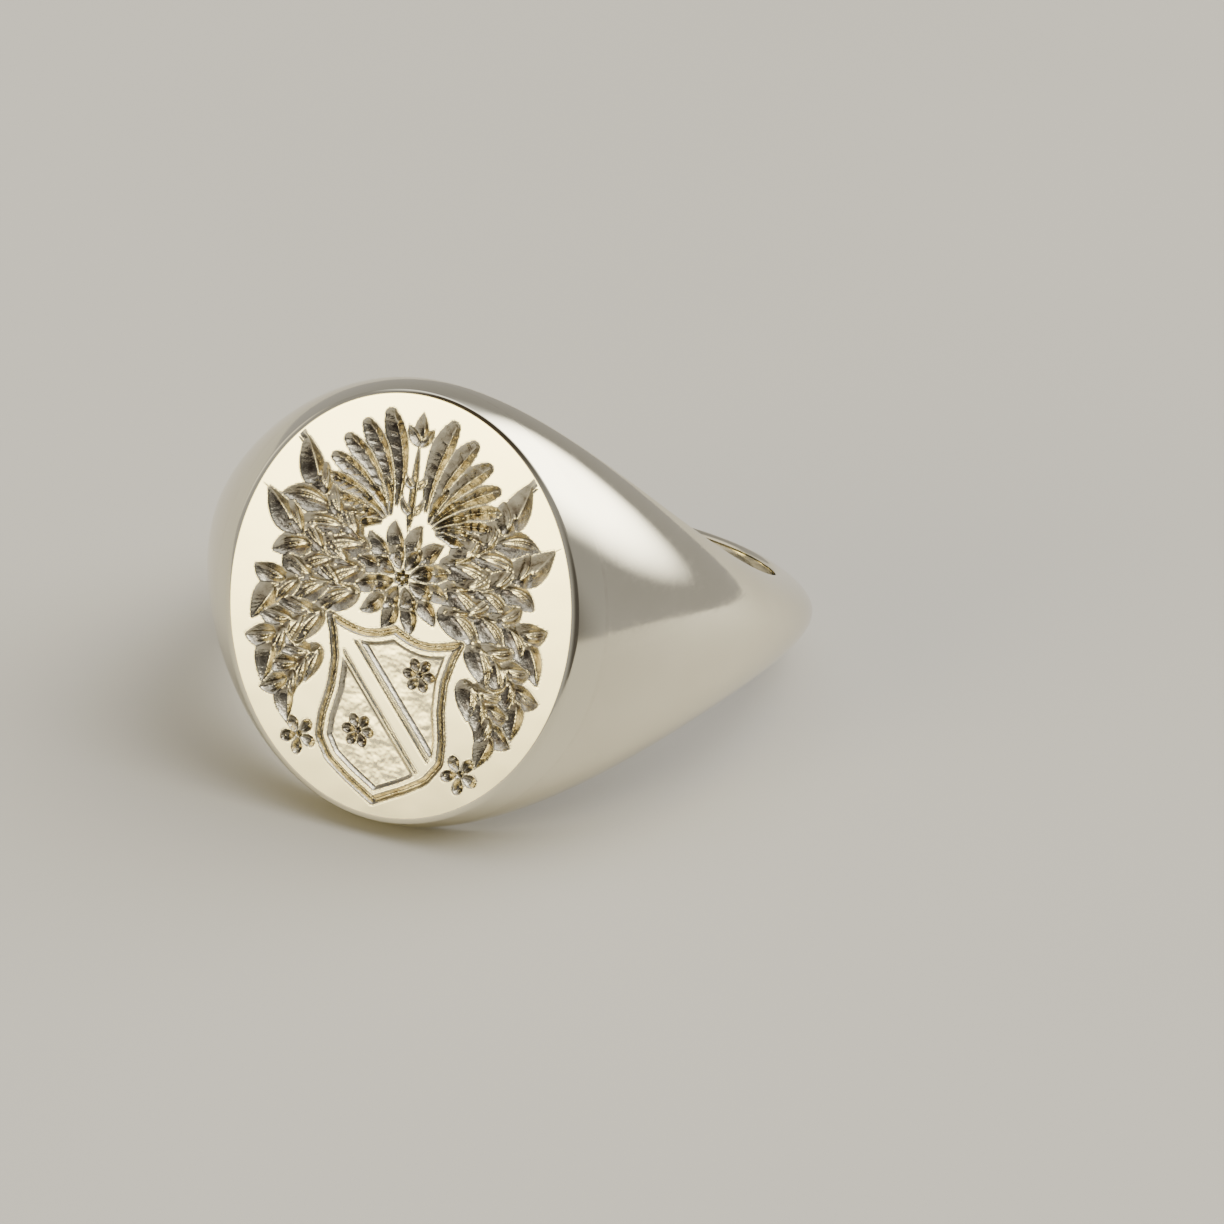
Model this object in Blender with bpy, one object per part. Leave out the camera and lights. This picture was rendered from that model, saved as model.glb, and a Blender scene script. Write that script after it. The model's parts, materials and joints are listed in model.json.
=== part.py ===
"""Signet ring with an oval engraved seal, lying on its side as it would be put down.

The ring is drawn upright in its own coordinates, in millimetres: X runs across the seal, Y along
the finger, and Z from the finger's axis out through the seal. Every horizontal slice of the outer
form is an ellipse, so two rules give the whole outside: how far an outline reaches from the
finger's axis at a height Z, and how much the ellipse is stretched along the finger there. The
finger hole is a plain cylinder along Y with rounded edges.

All pieces hang on one empty, which turns the ring on to its side and stands it on Z = 0.
"""

import math

import bmesh
import bpy
import numpy as np

MM = 0.001

# Driving dimensions, in millimetres.
HOLE_RADIUS = 9.0
SEAL_HEIGHT = 10.45
SEAL_HALF_WIDTH = 6.55
SEAL_HALF_LENGTH = 7.45
SEAL_BEVEL_WIDTH = 0.14
SEAL_BEVEL_DEPTH = 0.07
PLATE_THICKNESS = 0.75
SOLDER_THICKNESS = 0.08
PIECE_GAP = 0.01
HOOP_RADIUS = 10.7
HOOP_OFFSET = 0.35
SHANK_HALF_WIDTH = 1.1
HOLE_EDGE_RADIUS = 0.3

# How the hoop grows into the head: the heights where it starts, and how late it happens.
SHOULDER_START = -3.0
SHOULDER_POWER = 2.2
FLARE_START = -6.0
FLARE_POWER = 2.1

# The shank is joined to the head on both sides, this far round from the seal.
JOINT_ANGLE = math.radians(104.0)
JOINT_GAP_ANGLE = PIECE_GAP / HOOP_RADIUS
JOINT_FILM_ANGLE = 0.1 / HOOP_RADIUS

# Fineness of the faceted solids.
SEAT_SECTIONS = 14
SHOULDER_SECTIONS = 14
SHANK_SECTIONS = 30
FLANK_POINTS = 9
EDGE_POINTS = 3
RIM_POINTS = 72

# Engraving, in millimetres on the seal: x across, y along the finger.
CUT_DEPTH = 0.26
CUT_LIFT = 0.06
CUT_STATIONS = 6

# The shield: half width, top, end of the straight sides and point, for its groove's three lines.
SHIELD_OUTER = (2.5, -0.75, -3.5, -6.3)
SHIELD_GROOVE = (2.3, -0.95, -3.45, -6.0)
SHIELD_INNER = (2.1, -1.15, -3.4, -5.7)
BAND_SPACING = 0.4
CHARGES = ((1.2, -2.0), (-1.05, -4.2))

# The two fans of plumes above it, with a bud between them, and the flower they spring from.
FAN_ROOT = (0.8, 2.7)
FAN_PLUMES = 4
FAN_FIRST_LEAN = 12
FAN_SPREAD = 25
PLUME_START = 0.9
PLUME_LENGTHS = (3.7, 3.2, 2.7, 2.2)
PLUME_HALF_WIDTH = 0.24
BUD = ((0.0, 3.2), (0.0, 4.8), (0.0, 6.4))
ROSETTE_PETALS = 6
ROSETTE_MIDDLE = 0.9
PETAL_REACH = (0.5, 0.8, 1.2)
PETAL_HALF_WIDTH = 0.2
FLOWER_RADIUS = 0.3

# The leaves to the right: base, bend, tip and half width. Those to the left mirror them.
SIDE_LEAVES = (
    ((1.9, 1.6), (3.2, 2.0), (4.5, 3.6), 0.28),
    ((1.75, 0.95), (3.7, 1.2), (5.1, 2.7), 0.3),
    ((1.8, 0.3), (3.7, 0.5), (5.65, 1.2), 0.28),
    ((1.95, -0.35), (3.9, -0.15), (5.7, -0.4), 0.28),
    ((2.95, -1.0), (4.6, -0.9), (5.4, -1.95), 0.26),
    ((3.0, -1.65), (4.1, -1.7), (4.9, -3.1), 0.26),
    ((3.0, -2.4), (3.7, -2.7), (4.25, -4.1), 0.25),
    ((2.9, -3.4), (3.3, -3.9), (3.4, -5.0), 0.22),
)

SILVER = (0.91, 0.88, 0.82, 1.0)
SOLDER_SILVER = (0.84, 0.81, 0.74, 1.0)
POLISHED_ROUGHNESS = 0.1
SOLDER_ROUGHNESS = 0.2


def clear_scene():
    for obj in list(bpy.data.objects):
        bpy.data.objects.remove(obj, do_unlink=True)


def make_material(name, colour, roughness):
    material = bpy.data.materials.new(name)
    material.use_nodes = True
    shader = material.node_tree.nodes["Principled BSDF"]
    shader.inputs["Base Color"].default_value = colour
    shader.inputs["Metallic"].default_value = 1.0
    shader.inputs["Roughness"].default_value = roughness
    return material


def hoop_reach_squared(z):
    """The plain hoop: a circle whose centre stands HOOP_OFFSET above the finger's axis."""
    return HOOP_RADIUS**2 - HOOP_OFFSET**2 + 2 * HOOP_OFFSET * z


def reach(z):
    """How far the outer form reaches from the finger's axis at height z, in the plane y = 0."""
    grown = SEAL_HALF_WIDTH**2 + SEAL_HEIGHT**2 - hoop_reach_squared(SEAL_HEIGHT)
    along = max(z - SHOULDER_START, 0.0) / (SEAL_HEIGHT - SHOULDER_START)
    return math.sqrt(hoop_reach_squared(z) + grown * along**SHOULDER_POWER)


def stretch(z):
    """Length along the finger, over width across, of the elliptical slice at height z."""
    back_reach = reach(HOOP_OFFSET - HOOP_RADIUS)
    at_shank = SHANK_HALF_WIDTH / math.sqrt(back_reach**2 - HOLE_RADIUS**2)
    at_seal = SEAL_HALF_LENGTH / SEAL_HALF_WIDTH
    along = max(z - FLARE_START, 0.0) / (SEAL_HEIGHT - FLARE_START)
    return at_shank + (at_seal - at_shank) * along**FLARE_POWER


def slice_axes(z):
    """Half width and half length of the elliptical slice at height z."""
    half_width = math.sqrt(reach(z) ** 2 - z**2)
    return half_width, stretch(z) * half_width


def crown_radius(angle):
    """Distance from the finger's axis to the outer form's crest, at an angle from the seal."""
    low = HOLE_RADIUS
    high = 2 * HOLE_RADIUS
    for _ in range(50):
        middle = (low + high) / 2
        if reach(middle * math.cos(angle)) > middle:
            low = middle
        else:
            high = middle
    return low


def flank_width(radius, angle):
    """Half width along the finger of the section at this angle, at this distance from the axis."""
    z = radius * math.cos(angle)
    return stretch(z) * math.sqrt(max(reach(z) ** 2 - radius**2, 0.0))


def section_outline(angle, top_radius):
    """Closed outline, as (radius, y) points, of a slice through the ring along the finger."""
    side = []
    edge_start = HOLE_RADIUS + HOLE_EDGE_RADIUS
    for step in range(FLANK_POINTS + 1):
        down = (step / FLANK_POINTS) ** 2
        radius = top_radius - (top_radius - edge_start) * down
        side.append((radius, flank_width(radius, angle)))
    edge_width = side[-1][1] - HOLE_EDGE_RADIUS
    for step in range(1, EDGE_POINTS + 1):
        turn = 0.5 * math.pi * step / EDGE_POINTS
        radius = edge_start - HOLE_EDGE_RADIUS * math.sin(turn)
        side.append((radius, edge_width + HOLE_EDGE_RADIUS * math.cos(turn)))
    return side + [(radius, -y) for radius, y in reversed(side)]


def crown_section(angle):
    return angle, crown_radius(angle)


def seat_sections(seat_height):
    """Sections under a flat seat at this height, spread evenly round the seat's ellipse."""
    seat_half_width = slice_axes(seat_height)[0]
    sections = []
    for step in range(-SEAT_SECTIONS, SEAT_SECTIONS + 1):
        x = seat_half_width * math.sin(0.5 * math.pi * step / SEAT_SECTIONS)
        sections.append((math.atan2(x, seat_height), math.hypot(x, seat_height)))
    return sections


def place_section(angle, outline):
    sine = math.sin(angle)
    cosine = math.cos(angle)
    return [(radius * sine, y, radius * cosine) for radius, y in outline]


def loft(bm, loops):
    """Joins closed loops of equal length side by side, and closes both ends."""
    rings = [[bm.verts.new([value * MM for value in point]) for point in loop] for loop in loops]
    count = len(rings[0])
    for near, far in zip(rings, rings[1:]):
        for index in range(count):
            after = (index + 1) % count
            bm.faces.new((near[index], near[after], far[after], far[index]))
    bm.faces.new(list(reversed(rings[0])))
    bm.faces.new(rings[-1])


def finish_mesh(bm, name):
    """Joins the points that meet at a crest and turns every face outwards."""
    bmesh.ops.remove_doubles(bm, verts=bm.verts, dist=1e-8)
    bmesh.ops.recalc_face_normals(bm, faces=bm.faces)
    mesh = bpy.data.meshes.new(name)
    bm.to_mesh(mesh)
    bm.free()
    return mesh


def add_piece(name, mesh, material, frame):
    mesh.shade_smooth()
    mesh.set_sharp_from_angle(angle=math.radians(28))
    mesh.materials.append(material)
    piece = bpy.data.objects.new(name, mesh)
    bpy.context.scene.collection.objects.link(piece)
    piece.parent = frame
    return piece


def swept_piece(name, sections, material, frame):
    """A length of the hoop: its sections, each an (angle, top radius), joined in order."""
    loops = []
    for angle, top_radius in sections:
        loops.append(place_section(angle, section_outline(angle, top_radius)))
    bm = bmesh.new()
    loft(bm, loops)
    return add_piece(name, finish_mesh(bm, name), material, frame)


def ellipse_loop(half_width, half_length, z):
    loop = []
    for step in range(RIM_POINTS):
        turn = 2 * math.pi * step / RIM_POINTS
        loop.append((half_width * math.cos(turn), half_length * math.sin(turn), z))
    return loop


def make_head(seat_height, material, frame):
    """The solid head: a flat oval seat on top, and a shoulder on each side down to a joint."""
    seat = seat_sections(seat_height)
    seat_end = seat[-1][0]
    right = []
    for step in range(1, SHOULDER_SECTIONS + 1):
        right.append(crown_section(seat_end + (JOINT_ANGLE - seat_end) * step / SHOULDER_SECTIONS))
    left = [(-angle, radius) for angle, radius in reversed(right)]
    return swept_piece("head", left + seat + right, material, frame)


def make_shank(material, frame):
    """The D-section hoop that closes the ring behind the finger."""
    start = JOINT_ANGLE + 2 * JOINT_GAP_ANGLE + JOINT_FILM_ANGLE
    end = 2 * math.pi - start
    sections = []
    for step in range(SHANK_SECTIONS + 1):
        sections.append(crown_section(start + (end - start) * step / SHANK_SECTIONS))
    return swept_piece("shank", sections, material, frame)


def make_shank_solder(name, side, material, frame):
    """The film of hard solder between the head and one end of the shank."""
    near = JOINT_ANGLE + JOINT_GAP_ANGLE
    far = near + JOINT_FILM_ANGLE
    sections = [crown_section(side * near), crown_section(side * far)]
    return swept_piece(name, sections, material, frame)


def make_seal_solder(bottom, material, frame):
    """The film of hard solder under the seal plate."""
    top = bottom + SOLDER_THICKNESS
    bm = bmesh.new()
    loft(bm, [ellipse_loop(*slice_axes(z), z) for z in (bottom, top)])
    return add_piece("seal_solder", finish_mesh(bm, "seal_solder"), material, frame)


def leaf_spine(base, bend, tip, fraction):
    """Point on the curved middle line of a leaf, and the direction to its right."""
    before = 1 - fraction
    point = [
        before**2 * a + 2 * before * fraction * b + fraction**2 * c
        for a, b, c in zip(base, bend, tip)
    ]
    along = [
        before * (b - a) + fraction * (c - b) for a, b, c in zip(base, bend, tip)
    ]
    length = math.hypot(*along)
    return point, (along[1] / length, -along[0] / length)


def add_leaf_cut(bm, base, bend, tip, half_width):
    """One V-shaped cut of the graver: pointed at both ends, deepest near its middle."""
    top = SEAL_HEIGHT + CUT_LIFT
    widen = 1 + CUT_LIFT / CUT_DEPTH
    rows = []
    for step in range(1, CUT_STATIONS):
        fraction = step / CUT_STATIONS
        (x, y), (right_x, right_y) = leaf_spine(base, bend, tip, fraction)
        swell = math.sin(math.pi * fraction**0.8)
        reach_out = half_width * swell * widen
        row = [
            (x - reach_out * right_x, y - reach_out * right_y, top),
            (x + reach_out * right_x, y + reach_out * right_y, top),
            (x, y, SEAL_HEIGHT - CUT_DEPTH * swell),
        ]
        rows.append([bm.verts.new([value * MM for value in point]) for point in row])
    ends = [bm.verts.new((x * MM, y * MM, top * MM)) for x, y in (base, tip)]
    for near, far in zip(rows, rows[1:]):
        for index in range(3):
            after = (index + 1) % 3
            bm.faces.new((near[index], near[after], far[after], far[index]))
    for end, row in zip(ends, (rows[0], rows[-1])):
        for index in range(3):
            bm.faces.new((end, row[index], row[(index + 1) % 3]))


def add_point_cut(bm, x, y, radius):
    """A small round-mouthed cut that ends in a point, as the middle or petal of a flower."""
    corners = 8
    widen = 1 + CUT_LIFT / CUT_DEPTH
    mouth = []
    for step in range(corners):
        turn = 2 * math.pi * step / corners
        place = (x + radius * widen * math.cos(turn), y + radius * widen * math.sin(turn))
        mouth.append(bm.verts.new((place[0] * MM, place[1] * MM, (SEAL_HEIGHT + CUT_LIFT) * MM)))
    bottom = bm.verts.new((x * MM, y * MM, (SEAL_HEIGHT - CUT_DEPTH) * MM))
    bm.faces.new(mouth)
    for index in range(corners):
        bm.faces.new((bottom, mouth[(index + 1) % corners], mouth[index]))


def shield_loop(half_width, top, straight_end, point, z):
    """Outline of a plain shield: a flat top, straight sides, and two bows down to a point."""
    right = [(half_width, top), (half_width, straight_end)]
    bow_steps = 5
    for step in range(1, bow_steps):
        turn = 0.5 * math.pi * step / bow_steps
        x = half_width * math.cos(turn) ** 0.8
        right.append((x, straight_end + (point - straight_end) * math.sin(turn)))
    left = [(-x, y) for x, y in reversed(right)]
    return [(x, y, z) for x, y in right + [(0.0, point)] + left]


def add_shield_border(bm):
    """A V-shaped groove round the shield."""
    top = SEAL_HEIGHT + CUT_LIFT
    outer = shield_loop(*SHIELD_OUTER, top)
    inner = shield_loop(*SHIELD_INNER, top)
    middle = shield_loop(*SHIELD_GROOVE, SEAL_HEIGHT - CUT_DEPTH)
    loops = [
        [bm.verts.new([value * MM for value in point]) for point in loop]
        for loop in (outer, inner, middle)
    ]
    count = len(outer)
    for index in range(3):
        near = loops[index]
        far = loops[(index + 1) % 3]
        for corner in range(count):
            after = (corner + 1) % count
            bm.faces.new((near[corner], near[after], far[after], far[corner]))


def add_shield_charges(bm):
    """A slanting band of two cuts on the shield, with a small flower on each side of it."""
    for offset in (-BAND_SPACING, BAND_SPACING):
        high = (-1.35 + offset, -1.9 + offset)
        middle = (offset, -3.25 + offset)
        low = (1.2 + offset, -4.45 + offset)
        add_leaf_cut(bm, high, middle, low, PETAL_HALF_WIDTH)
    for x, y in CHARGES:
        add_point_cut(bm, x, y, FLOWER_RADIUS)


def along_lean(root, lean, distance, side):
    """The point at this distance from a root, leaning away from upright to one side."""
    return (side * (root[0] + distance * math.sin(lean)), root[1] + distance * math.cos(lean))


def add_fans(bm):
    """Two fans of plumes above the shield, alike left and right, with a bud between them."""
    bend_back = math.radians(8)
    for step in range(FAN_PLUMES):
        lean = math.radians(FAN_FIRST_LEAN + FAN_SPREAD * step)
        length = PLUME_LENGTHS[step]
        for side in (-1, 1):
            base = along_lean(FAN_ROOT, lean, PLUME_START, side)
            bend = along_lean(FAN_ROOT, lean - bend_back, 0.6 * length, side)
            tip = along_lean(FAN_ROOT, lean, length, side)
            add_leaf_cut(bm, base, bend, tip, PLUME_HALF_WIDTH)
    add_leaf_cut(bm, *BUD, PLUME_HALF_WIDTH)


def add_rosette(bm):
    """A six-petalled flower where the leaves spring from."""
    add_point_cut(bm, 0.0, ROSETTE_MIDDLE, FLOWER_RADIUS)
    middle = (0.0, ROSETTE_MIDDLE)
    for step in range(ROSETTE_PETALS):
        lean = 2 * math.pi * step / ROSETTE_PETALS
        points = [along_lean(middle, lean, distance, 1) for distance in PETAL_REACH]
        add_leaf_cut(bm, *points, PETAL_HALF_WIDTH)


def add_side_leaves(bm):
    """Acanthus leaves that sweep outwards and down on both sides, alike left and right."""
    for *points, half_width in SIDE_LEAVES:
        for side in (-1, 1):
            add_leaf_cut(bm, *[(side * x, y) for x, y in points], half_width)


def make_engraving_tool(frame):
    """Everything that the engraver cuts away, as one hidden cutter."""
    bm = bmesh.new()
    add_shield_border(bm)
    add_shield_charges(bm)
    add_fans(bm)
    add_rosette(bm)
    add_side_leaves(bm)
    mesh = finish_mesh(bm, "engraving_tool")
    tool = bpy.data.objects.new("engraving_tool", mesh)
    bpy.context.scene.collection.objects.link(tool)
    tool.parent = frame
    tool.hide_render = True
    tool.display_type = "WIRE"
    return tool


def make_seal_plate(bottom, material, frame):
    """The oval plate: sides that carry on the head's form, a small bevel and the engraved face."""
    bevel_start = SEAL_HEIGHT - SEAL_BEVEL_DEPTH
    middle = (bottom + bevel_start) / 2
    loops = [ellipse_loop(*slice_axes(z), z) for z in (bottom, middle, bevel_start)]
    face_half_width = SEAL_HALF_WIDTH - SEAL_BEVEL_WIDTH
    face_half_length = SEAL_HALF_LENGTH - SEAL_BEVEL_WIDTH
    loops.append(ellipse_loop(face_half_width, face_half_length, SEAL_HEIGHT))
    bm = bmesh.new()
    loft(bm, loops)
    plate = add_piece("seal_plate", finish_mesh(bm, "seal_plate"), material, frame)
    engraving = plate.modifiers.new("engraving", "BOOLEAN")
    engraving.operation = "DIFFERENCE"
    engraving.solver = "EXACT"
    engraving.object = make_engraving_tool(frame)
    return plate


def ring_points(pieces):
    """Every corner of every piece, in the ring's own coordinates and in metres."""
    return np.array([list(vertex.co) for piece in pieces for vertex in piece.data.vertices])


def lean_angle(points):
    """The angle at which the head and the back of the shank both touch the ground."""
    head = points[points[:, 2] > 0]
    back = points[points[:, 2] < 0]
    low = 0.0
    high = math.radians(45)
    for _ in range(50):
        middle = (low + high) / 2
        fall = np.array([math.cos(middle), math.sin(middle)])
        if (head[:, 1:] @ fall).min() < (back[:, 1:] @ fall).min():
            low = middle
        else:
            high = middle
    return low


def lay_down(frame, pieces):
    """Turns the ring on to its side and puts the middle of its base at the world origin."""
    points = ring_points(pieces)
    lean = lean_angle(points)
    frame.rotation_euler = (math.pi / 2 - lean, 0.0, 0.0)
    bpy.context.view_layer.update()
    turned = points @ np.array(frame.matrix_world)[:3, :3].T
    lowest = turned.min(axis=0)
    highest = turned.max(axis=0)
    middle = (lowest + highest) / 2
    frame.location = (-middle[0], -middle[1], -lowest[2])


def build():
    clear_scene()
    silver = make_material("polished_silver", SILVER, POLISHED_ROUGHNESS)
    seal_silver = make_material("seal_silver", SILVER, POLISHED_ROUGHNESS)
    solder = make_material("hard_solder", SOLDER_SILVER, SOLDER_ROUGHNESS)
    frame = bpy.data.objects.new("ring_frame", None)
    bpy.context.scene.collection.objects.link(frame)
    plate_bottom = SEAL_HEIGHT - PLATE_THICKNESS
    solder_bottom = plate_bottom - PIECE_GAP - SOLDER_THICKNESS
    pieces = [
        make_head(solder_bottom - PIECE_GAP, silver, frame),
        make_shank(silver, frame),
        make_shank_solder("shank_solder_right", 1, solder, frame),
        make_shank_solder("shank_solder_left", -1, solder, frame),
        make_seal_solder(solder_bottom, solder, frame),
        make_seal_plate(plate_bottom, seal_silver, frame),
    ]
    lay_down(frame, pieces)


build()
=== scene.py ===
"""The looks of the signet ring: fine polished surfaces, the engraved seal, light and camera.

Shapes are worked out in millimetres in the ring's own coordinates, which the frame's two mounts
give: X across the seal, Y along the finger and Z from the finger's axis out through the seal.
"""

import copy
import json
import math

import bmesh
import bpy
import numpy as np
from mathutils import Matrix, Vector


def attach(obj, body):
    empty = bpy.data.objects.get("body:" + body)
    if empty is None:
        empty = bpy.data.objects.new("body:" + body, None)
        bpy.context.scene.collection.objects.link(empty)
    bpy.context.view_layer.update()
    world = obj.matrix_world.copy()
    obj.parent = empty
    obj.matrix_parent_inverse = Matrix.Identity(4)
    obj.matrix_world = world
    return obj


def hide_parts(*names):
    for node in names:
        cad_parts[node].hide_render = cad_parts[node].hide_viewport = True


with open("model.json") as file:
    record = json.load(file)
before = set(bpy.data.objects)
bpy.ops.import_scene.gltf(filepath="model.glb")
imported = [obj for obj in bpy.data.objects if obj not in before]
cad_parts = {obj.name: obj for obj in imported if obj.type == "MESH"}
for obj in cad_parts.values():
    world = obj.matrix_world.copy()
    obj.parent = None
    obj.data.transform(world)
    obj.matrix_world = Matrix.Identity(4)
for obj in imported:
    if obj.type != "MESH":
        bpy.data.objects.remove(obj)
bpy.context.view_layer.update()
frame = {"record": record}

MM = 0.001
BODY = "root"
MOUNTS = {mount["name"]: mount for mount in frame["record"]["mounts"]}

# The ring's form, in millimetres. Every slice at one height Z is an ellipse.
HOLE_RADIUS = 9.0
SEAL_HEIGHT = 10.45
SEAL_HALF_WIDTH = 6.55
SEAL_HALF_LENGTH = 7.45
SEAL_BEVEL_WIDTH = 0.14
SEAL_BEVEL_DEPTH = 0.07
PLATE_BOTTOM = 9.7
HEAD_TOP = 9.61
HOOP_RADIUS = 10.7
HOOP_OFFSET = 0.35
SHANK_HALF_WIDTH = 1.1
HOLE_EDGE_RADIUS = 0.34
SHOULDER_START = -3.0
SHOULDER_POWER = 2.2
FLARE_START = -6.0
FLARE_POWER = 2.1

# The two solder joints between head and shank, as angles round from the seal.
JOINT_START = math.radians(104.0)
JOINT_END = JOINT_START + 0.12 / HOOP_RADIUS

# Fineness of the meshes.
FLANK_POINTS = 46
EDGE_POINTS = 9
HOLE_POINTS = 6
GRID_ACROSS = 277
GRID_ALONG = 307

# The part of the seal that the engraver works in, and how deep the cuts may go.
FIELD_HALF_WIDTH = 6.12
FIELD_HALF_LENGTH = 7.02
DEEPEST_CUT = 0.46

# A cut's half width never falls below the first value, and below the second the graver has
# left the metal. Fine lines fade out where the broad cut under them is shallower than the third.
THINNEST_HALF_WIDTH = 0.015
LIFTED_HALF_WIDTH = 0.025
FINE_FADE_DEPTH = 0.08

# The leaves: lobes along each side of a stem, where they start and how far apart they grow, as
# shares of the stem, and how far in degrees a lobe and its tip lean away from the stem.
LOBES_A_SIDE = 3
FIRST_LOBE = 0.02
LOBE_SPACING = 0.8 / LOBES_A_SIDE
LOBE_LEAN = 19.8
LOBE_TIP_LEAN = 63.8
STEM_HALF_WIDTH = 0.2
LEAF_DEPTH = 0.38

# The fans: one long row of plumes and a short row before it.
FAN_ROOT = (0.72, 2.75)
LONG_PLUMES = 8
SHORT_PLUMES = 5

# The shield's half width at several heights: flared corners, a waist, a belly and a point.
SHIELD_HEIGHTS = (-0.75, -1.3, -2.2, -3.2, -4.2, -5.0, -5.7, -6.2, -6.55, -6.8)
SHIELD_HALF_WIDTHS = (2.5, 2.28, 2.08, 2.1, 2.3, 2.32, 1.85, 1.1, 0.45, 0.0)
SHIELD_TOP_DIP = 0.38

# The groove along the shield's edge, and the gap over which the leaves stop short of it.
BORDER_HALF_WIDTH = 0.15
BORDER_DEPTH = 0.24
BORDER_GAP = 0.16
BORDER_FADE = 0.08

# The shield's sunk field, and the slanting band left standing in it with a groove down each side.
SUNK_INSET = 0.3
SUNK_DEPTH = 0.16
SUNK_WALL = 0.1
BAND_DROP = 3.4
BAND_SLOPE = 0.92
BAND_HALF_WIDTH = 0.44
BAND_GROOVE_PLACE = 0.3
BAND_GROOVE_HALF_WIDTH = 0.06
BAND_GROOVE_DEPTH = 0.09
TOOL_MARK_DEPTH = 0.004

# A distance further off than anything on the seal.
FAR = 9.0


# ---------------------------------------------------------------- the ring's form


def hoop_reach_squared(z):
    """The plain hoop: a circle whose centre stands HOOP_OFFSET above the finger's axis."""
    return HOOP_RADIUS**2 - HOOP_OFFSET**2 + 2 * HOOP_OFFSET * z


def reach(z):
    """How far the outer form reaches from the finger's axis at height z, in the plane y = 0."""
    grown = SEAL_HALF_WIDTH**2 + SEAL_HEIGHT**2 - hoop_reach_squared(SEAL_HEIGHT)
    along = np.maximum(z - SHOULDER_START, 0.0) / (SEAL_HEIGHT - SHOULDER_START)
    return np.sqrt(hoop_reach_squared(z) + grown * along**SHOULDER_POWER)


def stretch(z):
    """Length along the finger, over width across, of the elliptical slice at height z."""
    back_reach = reach(np.float64(HOOP_OFFSET - HOOP_RADIUS))
    at_shank = SHANK_HALF_WIDTH / math.sqrt(back_reach**2 - HOLE_RADIUS**2)
    at_seal = SEAL_HALF_LENGTH / SEAL_HALF_WIDTH
    along = np.maximum(z - FLARE_START, 0.0) / (SEAL_HEIGHT - FLARE_START)
    return at_shank + (at_seal - at_shank) * along**FLARE_POWER


def slice_axes(z):
    """Half width and half length of the elliptical slice at height z."""
    half_width = math.sqrt(reach(z) ** 2 - z**2)
    return half_width, float(stretch(z)) * half_width


def crown_radius(angles):
    """Distance from the finger's axis to the outer form's crest, at angles from the seal."""
    low = np.full(angles.shape, HOLE_RADIUS)
    high = np.full(angles.shape, 2 * HOLE_RADIUS)
    for _ in range(50):
        middle = (low + high) / 2
        inside = reach(middle * np.cos(angles)) > middle
        low = np.where(inside, middle, low)
        high = np.where(inside, high, middle)
    return low


def flank_width(radius, angle):
    """Half width along the finger of the section at this angle, at this distance from the axis."""
    z = radius * np.cos(angle)
    return stretch(z) * np.sqrt(np.maximum(reach(z) ** 2 - radius**2, 0.0))


def section_outlines(angles, top_radii):
    """One closed outline per angle: down one flank, round the hole's edges and up the other."""
    angle = angles[:, None]
    edge = HOLE_RADIUS + HOLE_EDGE_RADIUS
    down = np.linspace(0.0, 1.0, FLANK_POINTS)[None, :] ** 2
    flank_radius = top_radii[:, None] - (top_radii[:, None] - edge) * down
    flank = np.stack([flank_radius, flank_width(flank_radius, angle)], axis=-1)
    # The hole's edge is a curve that leaves the flank and meets the hole without a corner.
    step = 0.01
    slope = (flank_width(edge + step, angle) - flank_width(edge - step, angle)) / (2 * step)
    start = flank_width(edge, angle)
    corner = start - slope * HOLE_EDGE_RADIUS
    turn = np.linspace(0.0, 1.0, EDGE_POINTS + 1)[None, 1:]
    start_share = (1 - turn) ** 2
    corner_share = 2 * turn * (1 - turn)
    end_share = turn**2
    round_y = start_share * start + corner_share * corner + end_share * (corner - HOLE_EDGE_RADIUS)
    round_radius = np.broadcast_to(HOLE_RADIUS + start_share * HOLE_EDGE_RADIUS, round_y.shape)
    rounded = np.stack([round_radius, round_y], axis=-1)
    half_hole = round_y[:, -1:] * np.linspace(1.0, 0.0, HOLE_POINTS + 1)[None, 1:-1]
    hole = np.stack([np.full(half_hole.shape, HOLE_RADIUS), half_hole], axis=-1)
    upper = np.concatenate([flank, rounded, hole], axis=1)
    lower = upper[:, ::-1] * np.array([1.0, -1.0])
    outline = np.concatenate([upper, lower], axis=1)
    x = outline[..., 0] * np.sin(angle)
    z = outline[..., 0] * np.cos(angle)
    return np.stack([x, outline[..., 1], z], axis=-1)


# ---------------------------------------------------------------- mesh making


def ring_axes():
    """The ring's X, Y and Z axes as the columns of a matrix, and the hole's middle, in world."""
    along_finger = Vector(MOUNTS["finger_hole"]["axis"]).normalized()
    out_of_seal = Vector(MOUNTS["seal_face"]["axis"]).normalized()
    across = along_finger.cross(out_of_seal).normalized()
    out_of_seal = across.cross(along_finger)
    turn = np.array([list(across), list(along_finger), list(out_of_seal)]).T
    return turn, np.array(MOUNTS["finger_hole"]["pos_m"])


RING_TURN, RING_PLACE = ring_axes()


def to_world(points):
    return (points * MM) @ RING_TURN.T + RING_PLACE


def loft_faces(rows, columns):
    """Quads between closed loops that lie one after another."""
    row = np.arange(rows - 1)[:, None] * columns
    column = np.arange(columns)[None, :]
    after = (column + 1) % columns
    quads = np.stack([row + column, row + after, row + columns + after, row + columns + column], -1)
    return quads.reshape(-1, 4).tolist()


def face_outwards(mesh):
    """Turns all the faces of a closed mesh round if they face inwards."""
    solid = bmesh.new()
    solid.from_mesh(mesh)
    if solid.calc_volume(signed=True) < 0:
        mesh.flip_normals()
    solid.free()


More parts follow.
